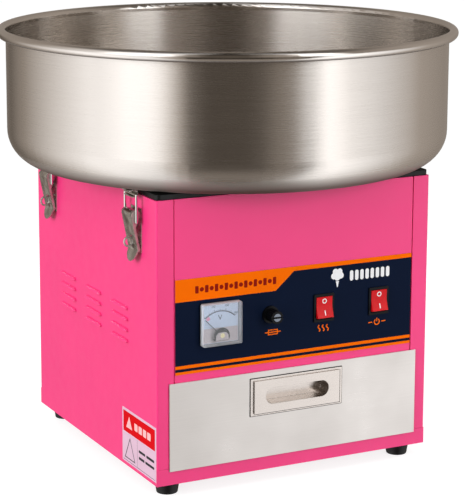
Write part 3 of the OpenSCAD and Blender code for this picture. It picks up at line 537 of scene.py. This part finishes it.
overlay_low, overlay_high, _ = box_mm("control_overlay")
PANEL_Y = overlay_low.y
LEFT, RIGHT = overlay_low.x, overlay_high.x
BOTTOM, TOP = overlay_low.z, overlay_high.z
on_panel = front_face(PANEL_Y - INK)
over_band = front_face(PANEL_Y - 2 * INK)


def panel_bands():
    """A deep band on the left that slopes up into a thin one at the top, and two stripes at the foot."""
    band_foot, strip_foot = TOP - 24.4, TOP - 4.8
    slope_foot, slope_head = -26, -3.5
    slope = [(slope_foot, band_foot), (slope_head, strip_foot), (slope_head, TOP)]
    bands = [[(LEFT, band_foot), *slope, (LEFT, TOP)], rect(slope_head, strip_foot, RIGHT, TOP)]
    bands += [rect(LEFT, BOTTOM + foot, RIGHT, BOTTOM + head) for foot, head in ((6.2, 9.7), (0, 3))]
    lay_print("panel_bands", bands, PRINT_ORANGE, on_panel)


def panel_ornaments():
    """Blocks and dots in turn along the deep band, and a row of stripes beside the floss sign."""
    first_x, z, pitch = -120.2, TOP - 12.8, 5.8
    block_w, block_h, dot_r = 4, 8, 2.4
    row = []
    for i in range(17):
        x = first_x + pitch * i
        row.append(disc(x, z, dot_r, 24) if i % 2 else block(x, z, block_w, block_h, 1))
    lay_print("panel_title_ornament", row, PRINT_MAROON, over_band)
    stripes = block_row(66.4, TOP - 17.6, count=8, width=4.4, height=11.6, gap=2.2, r=2)
    lay_print("panel_ornament", stripes, PRINT_WHITE, on_panel)


def floss_sign():
    """Floss on a stick: one outline round overlapping lobes, and a cone below it."""
    cx, cz = 50.7, TOP - 15.5
    cone = [(cx + x, cz + z) for x, z in ((-2, -6.6), (-0.5, -13.2), (0.5, -13.2), (2, -6.6))]
    # Each lobe is a place from the centre and a radius
    lobes = ((0, 1.4, 5.2), (-4.3, -0.6, 3.6), (4.3, -0.6, 3.6),
             (-2.6, 4.2, 3.4), (2.8, 4, 3.4), (0, -2.2, 3.8))
    cloud = []
    points = 72
    for i in range(points):
        dx, dz = on_circle(0, 0, 1, 360 * i / points)
        reach = 0
        for x, z, r in lobes:
            along = x * dx + z * dz
            inside = r * r - (x * x + z * z - along * along)
            if inside > 0:
                reach = max(reach, along + math.sqrt(inside))
        cloud.append((cx + reach * dx, cz + reach * dz))
    lay_print("panel_floss_sign", [cloud, cone], PRINT_WHITE, on_panel)


def caption_signs():
    """The signs under the fuse and the two switches: a fuse, three warm waves, and the power sign."""
    fuse, heat, power = (box_mm(node)[2] for node in ("fuse_cap", "heat_rocker", "power_rocker"))
    control_z = fuse.z

    x, z = fuse.x + 3.5, control_z - 20.2
    signs = closed_stroke(rect(x - 6, z - 3, x + 6, z + 3), 1.1)
    for start, end in ((-9.6, -6), (-4.9, 4.9), (6, 9.6)):
        signs += stroke([(x + start, z), (x + end, z)], 1.1)

    x, z = heat.x + 0.1, control_z - 23.2
    wave_gap, wave_reach, wave_steps, wave_step = 5.2, 1.25, 10, 0.72
    for i in (-1, 0, 1):
        wave = [(x + wave_gap * i + wave_reach * math.sin(2 * math.pi * t / wave_steps),
                 z + wave_step * (t - wave_steps / 2)) for t in range(wave_steps + 1)]
        signs += stroke(wave, 1.3)

    x, z = power.x - 1, control_z - 24.2
    signs += arc_band(x, z, 2.6, 3.8, 125, 415, 28)
    signs += stroke([(x, z + 0.4), (x, z + 4.4)], 1.2)
    for side in (-1, 1):
        signs += stroke([(x + 6 * side, z), (x + 11 * side, z)], 1.2)
    lay_print("panel_caption_signs", signs, PRINT_ORANGE, on_panel)


def rocker_marks(node, body, name):
    """A ring and a bar on the two halves of a rocker, whose front is a shallow V that leans on its pin."""
    _, _, middle = box_mm(node)
    pin_depth, tilt = 1.2, -9
    valley, rise, half_height = 3.6, 2, 11.6
    pin = Vector((middle.x, PANEL_Y + pin_depth, middle.z))
    lean = Matrix.Rotation(math.radians(tilt), 4, "X")

    def face(u, v):
        depth = -valley - rise * abs(v) / half_height - SWITCH_INK
        return (pin + lean @ Vector((u, depth, v))) * MM

    ring = arc_band(0, 6.6, 1.75, 2.75, 0, 360, 36)
    bar = rect(-0.55, -9.2, 0.55, -3.8)
    lay_print(name, [*ring, bar], PRINT_WHITE, face, body)


def cap_insert():
    """A nickel insert in the end of the fuse cap, on both sides of its slot."""
    low, _, middle = box_mm("fuse_cap")
    r, slot_angle, step = 4.3, 14, 8
    angles = range(slot_angle, 181 - slot_angle, step)
    halves = [[on_circle(middle.x, middle.z, r, side + a) for a in angles] for side in (0, 180)]
    on_cap = front_face(low.y - SWITCH_INK)
    lay_print("fuse_cap_insert", halves, WORN_NICKEL, on_cap, "fuse_knob")


def paint_pull_shadows():
    """Painted shadow: dark lines round the pull, and along the foot and the right side of its raised plate,
    where shade falls.
    """
    low, high, _ = box_mm("drawer_handle")
    drawer_y = box_mm("drawer_front")[0].y - THIN_INK
    pull_thickness = 1
    on_drawer, on_pull = front_face(drawer_y), front_face(drawer_y - pull_thickness)
    # The dark gasket rubber is laid on as painted shadow
    painted_shadow = MATERIALS["gasket_rubber"]

    spread, width = 0.8, 1
    outline = rounded_rect(low.x - spread, low.z - spread, high.x + spread, high.z + spread, 1.2)
    lay_print("pull_painted_shadow", closed_stroke(outline, width), painted_shadow, on_drawer, "drawer")

    # The raised plate is inset from the pull's edge, and the painted shadow line runs a little way outside
    # it
    inset_x, inset_z = 3.8, 2.45
    away_x, away_z, line = 1.6, 1.2, 0.5
    left, outer_x = low.x + inset_x, high.x - inset_x + away_x
    outer_z, top = low.z + inset_z - away_z, high.z - inset_z
    lines = [rect(left, outer_z, outer_x, outer_z + line),
             rect(outer_x - line, outer_z + line, outer_x, top)]
    lay_print("pull_plate_painted_shadow", lines, painted_shadow, on_pull, "drawer")


panel_bands()
panel_ornaments()
floss_sign()
caption_signs()
paint_pull_shadows()
cap_insert()
for switch in ("heat", "power"):
    rocker_marks(switch + "_rocker", switch + "_button", switch + "_rocker_marks")


# ---- voltmeter

dial_low, dial_high, dial_middle = box_mm("meter_dial")
METER_X, METER_Z = dial_middle.x, dial_middle.z
PIVOT_Z = METER_Z - 13
on_dial = front_face(dial_low.y - DIAL_INK)


def write(name, text, size, dx, dz):
    """Figures on the dial, centred this far from its middle."""
    curve = bpy.data.curves.new(name, "FONT")
    curve.body = text
    curve.size = size * MM
    curve.align_x = "CENTER"
    curve.align_y = "CENTER"
    line = bpy.data.objects.new(name + "_line", curve)
    scene.collection.objects.link(line)
    bpy.context.view_layer.update()
    mesh = bpy.data.meshes.new_from_object(line.evaluated_get(bpy.context.evaluated_depsgraph_get()))
    bpy.data.objects.remove(line)
    stand = Matrix.Rotation(math.pi / 2, 4, "X")
    mesh.transform(Matrix.Translation(on_dial(METER_X + dx, METER_Z + dz)) @ stand)
    mesh.name = name
    mesh.materials.clear()
    place_print(name, mesh, PRINT_BLACK, "cabinet")


def dial_scale():
    """An arc with long, middle and short ticks, and a rose mark at its zero."""
    arc_r, tick_r = 25.6, 26.5
    zero, full_scale, ticks = 132, 48, 30
    shapes = arc_band(METER_X, PIVOT_Z, arc_r, tick_r, full_scale, zero, 48)
    for i in range(ticks + 1):
        length = 2.7 if i % 10 == 0 else 1.9 if i % 5 == 0 else 1.1
        width = 0.5 if i % 5 == 0 else 0.28
        a = zero + (full_scale - zero) * i / ticks
        shapes += stroke([on_circle(METER_X, PIVOT_Z, r, a) for r in (tick_r, tick_r + length)], width)
    lay_print("dial_scale", shapes, PRINT_BLACK, on_dial)
    zero_mark = arc_band(METER_X, PIVOT_Z, 21.6, 25.2, zero - 10, zero, 6)
    lay_print("dial_zero_mark", zero_mark, PRINT_ROSE, on_dial)


def dial_trim():
    """A painted reflection over the dial's foot, mauve-grey for the grey that the clear cover mirrors
    there, and the plate and the screw head on the pivot's cover.
    """
    # The mauve-grey over the dial's foot is painted reflection
    margin, reflection_top = 0.4, METER_Z - 5
    foot_reflection = rect(dial_low.x + margin, dial_low.z + margin, dial_high.x - margin, reflection_top)
    lay_print("dial_foot_painted_reflection", [foot_reflection], PRINT_MAUVE, on_dial)
    cover_y = box_mm("meter_housing")[0].y
    on_cover, on_plate = front_face(cover_y - THIN_INK), front_face(cover_y - 2 * THIN_INK)
    half = ((7.6, -4.6), (7.2, 1.2), (4.2, 4))
    plate = [(METER_X + x, PIVOT_Z + z) for x, z in half]
    plate += [(METER_X - x, PIVOT_Z + z) for x, z in reversed(half)]
    lay_print("pivot_cover_plate", [plate], PRINT_MAUVE, on_cover)
    screw = disc(METER_X + 0.4, PIVOT_Z + 0.4, 2.6)
    lay_print("zero_screw_head", [screw], PRINT_YELLOW, on_plate)


dial_scale()
dial_trim()
write("dial_figure_0", "0", 3.4, -19.6, 9.4)
write("dial_figure_100", "100", 3.2, -8, 18.4)
write("dial_figure_200", "200", 3.2, 8, 18.4)
write("dial_figure_300", "300", 3.2, 18.8, 9.4)
write("dial_unit", "V", 8, 0, 5.8)


# ---- side label

def label_prints():
    low, high, _ = box_mm("side_label")
    width, bottom, top = high.y - low.y, low.z, high.z

    def label_face(lift):
        """Runs from the label's rear edge to its front one, as it is read."""
        def face(u, v):
            return (low.x - lift) * MM, (high.y - u) * MM, v * MM
        return face

    on_label, on_band = label_face(INK), label_face(INK + THIN_INK)
    margin, band = 3, 26.5
    red = rect(margin, top - band, width - margin, top - margin)
    lay_print("label_band", [red], PRINT_RED, on_label)
    middle = top - (band + margin) / 2
    pale = block_row(32, middle, count=4, width=8.6, height=8.4, gap=2.6, r=1.2)
    pale.append([(10.5, middle - 6), (26.5, middle - 6), (18.5, middle + 7.5)])
    lay_print("label_band_ornament", pale, PRINT_PALE, on_band)

    # A triangle, a divider, a line along the foot, and bars in two rows
    marks = closed_stroke([(6.5, bottom + 5), (34, bottom + 5), (20.2, bottom + 30)], 1.1)
    marks += stroke([(39.5, bottom + 3), (39.5, top - band - 1.5)], 0.45)
    marks += stroke([(margin, bottom + 2.2), (width - margin, bottom + 2.2)], 0.5)
    bar_h, pitch = 3, 7.5
    for row, runs in enumerate((((43.5, 60), (63, 83)), ((43.5, 58), (60.5, 83)))):
        z = bottom + 20.5 - pitch * row
        marks += [rounded_rect(start, z, end, z + bar_h, 0.8) for start, end in runs]
    lay_print("label_marks", marks, PRINT_BLACK, on_label)


label_prints()


# ---- stage and light

# The soft boxes of the studio and the gaps between them, as degrees round from the camera's side and a
# level. Upright faces mirror the low ring, and the high ring lights the inside of the bowl
LOW_RING = (
    (-180, 0.28), (-150, 0.14), (-128, 0.4), (-102, 0.95), (-74, 1.55), (-40, 1.2), (-31, 0.64),
    (-23, 0.38), (-19, 0.06), (18, 0.06), (27, 0.17), (35, 0.2), (43, 0.11), (51.5, 1.35), (62, 1.8),
    (84, 1.25), (116, 0.52), (149, 0.33), (180, 0.28),
)
HIGH_RING = (
    (-180, 0.3), (-115, 0.4), (-68, 1), (-52, 2.6), (-33, 2.6), (-23, 0.45), (-10, 0.12), (10, 0.13),
    (25, 0.4), (34, 0.52), (40.5, 2.6), (53, 2.6), (64, 0.3), (110, 0.45), (180, 0.3),
)
# The brightest level, which the rings' colours are shares of
FULL_LEVEL = 2.6
# The studio's brightness by height, from straight down at -1 to straight up at 1
BY_HEIGHT = ((-1, 0.3), (-0.95, 0.5), (-0.8, 1), (0.62, 1), (0.86, 0.35), (1, 0.3))
# The floor as metal mirrors it, and what the camera sees behind the machine
FLOOR_LEVEL = 0.4
BACKDROP_LEVEL = 1.02


def colour_ramp(nodes, place, stops):
    """A colour that runs through the stops, each a place from 0 to 1 and a colour."""
    ramp = nodes.add("ShaderNodeValToRGB", {0: place})
    ramp.color_ramp.interpolation = "LINEAR"
    elements = ramp.color_ramp.elements
    while len(elements) < len(stops):
        elements.new(0.5)
    for element, (at, colour) in zip(elements, stops):
        element.position = at
        element.color = (*colour, 1)
    return ramp.outputs[0]


def tinted(level):
    """A studio colour as a share of the full level. Dim parts are warm, and lit ones are neutral."""
    light = min(level / 1.2, 1)
    return tuple(level / FULL_LEVEL * c for c in (1, 0.82 + 0.18 * light, 0.66 + 0.36 * light))


def make_world():
    """A studio of soft boxes round the machine, with a dark gap in front of it. The camera sees white."""
    world = bpy.data.worlds.new("studio")
    scene.world = world
    world.use_nodes = True
    nodes = NodeTree(world.node_tree)
    nodes.tree.nodes.clear()

    way = nodes.add("ShaderNodeTexCoord").outputs["Generated"]
    x, y, up = nodes.split(way)
    # Turned so that 0.5 is the way from the machine to where the camera stands
    share = nodes.math("MULTIPLY", nodes.math("ARCTAN2", y, x), 1 / (2 * math.pi))
    front = 0.75 - CAMERA_AZIMUTH / (2 * math.pi)
    around = nodes.math("FRACT", nodes.math("ADD", share, front))
    low, high = (
        colour_ramp(nodes, around, [(0.5 + degrees / 360, tinted(level)) for degrees, level in ring])
        for ring in (LOW_RING, HIGH_RING))

    # The low ring gives way to the high one at the horizon
    rings = nodes.mixed_colours(nodes.remap(up, 0, 1, -0.06, 0.1), low, high)
    # Metal that looks down sees the pale floor
    looking_down = nodes.remap(up, 0, 1, -0.5, -0.75)
    floored = nodes.mixed_colours(looking_down, rings, (*tinted(FLOOR_LEVEL), 1), "LIGHTEN")
    by_height = colour_ramp(nodes, nodes.math("MULTIPLY_ADD", up, 0.5, 0.5),
                            [(0.5 + z / 2, (level, level, level)) for z, level in BY_HEIGHT])
    lit = nodes.mixed_colours(1.0, floored, by_height, "MULTIPLY")

    # The floor keeps most of the low light off the painted sides
    path = nodes.add("ShaderNodeLightPath").outputs
    matt = nodes.math("MULTIPLY", nodes.remap(up, 0, 0.8, 0, -0.35), path["Is Diffuse Ray"])
    shaded = nodes.mixed_colours(matt, lit, (0, 0, 0, 1))
    studio = nodes.add("ShaderNodeBackground", {"Color": shaded, "Strength": FULL_LEVEL}).outputs[0]
    white = {"Color": (1, 1, 1, 1), "Strength": BACKDROP_LEVEL}
    backdrop = nodes.add("ShaderNodeBackground", white).outputs[0]
    seen = nodes.add("ShaderNodeMixShader", {0: path["Is Camera Ray"], 1: studio, 2: backdrop}).outputs[0]
    nodes.add("ShaderNodeOutputWorld", {0: seen})


def make_floor():
    bm = bmesh.new()
    bmesh.ops.create_circle(bm, cap_ends=True, segments=96, radius=1.1)
    mesh = bpy.data.meshes.new("floor")
    bm.to_mesh(mesh)
    bm.free()
    floor = bpy.data.objects.new("floor", mesh)
    scene.collection.objects.link(floor)
    shade = Shade("pale_floor", (0.3, 0.3, 0.3, 1), 0.7, Emission_Color=(1, 1, 1, 1),
                  Emission_Strength=0.82)
    shade.vary(shade.noise(300, 1), 0.01)
    mesh.materials.append(shade.mat)
    floor.visible_glossy = False
    floor.visible_diffuse = False


def soft_box(name, at, aim, size, power):
    data = bpy.data.lights.new(name, "AREA")
    data.shape = "RECTANGLE"
    data.size, data.size_y = size
    data.energy = power
    light = bpy.data.objects.new(name, data)
    scene.collection.objects.link(light)
    light.location = at
    light.rotation_euler = (Vector(aim) - Vector(at)).to_track_quat("-Z", "Y").to_euler()
    light.visible_camera = False
    light.visible_glossy = False


make_world()
make_floor()
soft_box("overhead", (0.1, -0.4, 2.4), (0, 0, 0.2), (1.8, 1.8), 20)
soft_box("left_fill", (-2.6, -0.25, 0.9), (0, 0, 0.25), (1.4, 1.2), 37)
soft_box("front_fill", (0.5, -1.65, 0.72), (0.05, 0, 0.28), (1.2, 0.7), 12.2)
soft_box("right_fill", (2.6, 0.5, 0.9), (0, 0, 0.25), (1.4, 1.2), 32)
soft_box("back_fill", (-0.4, 2.8, 0.9), (0, 0, 0.25), (1.4, 1.2), 40)
scene.view_settings.view_transform = "Standard"
scene.view_settings.look = "None"
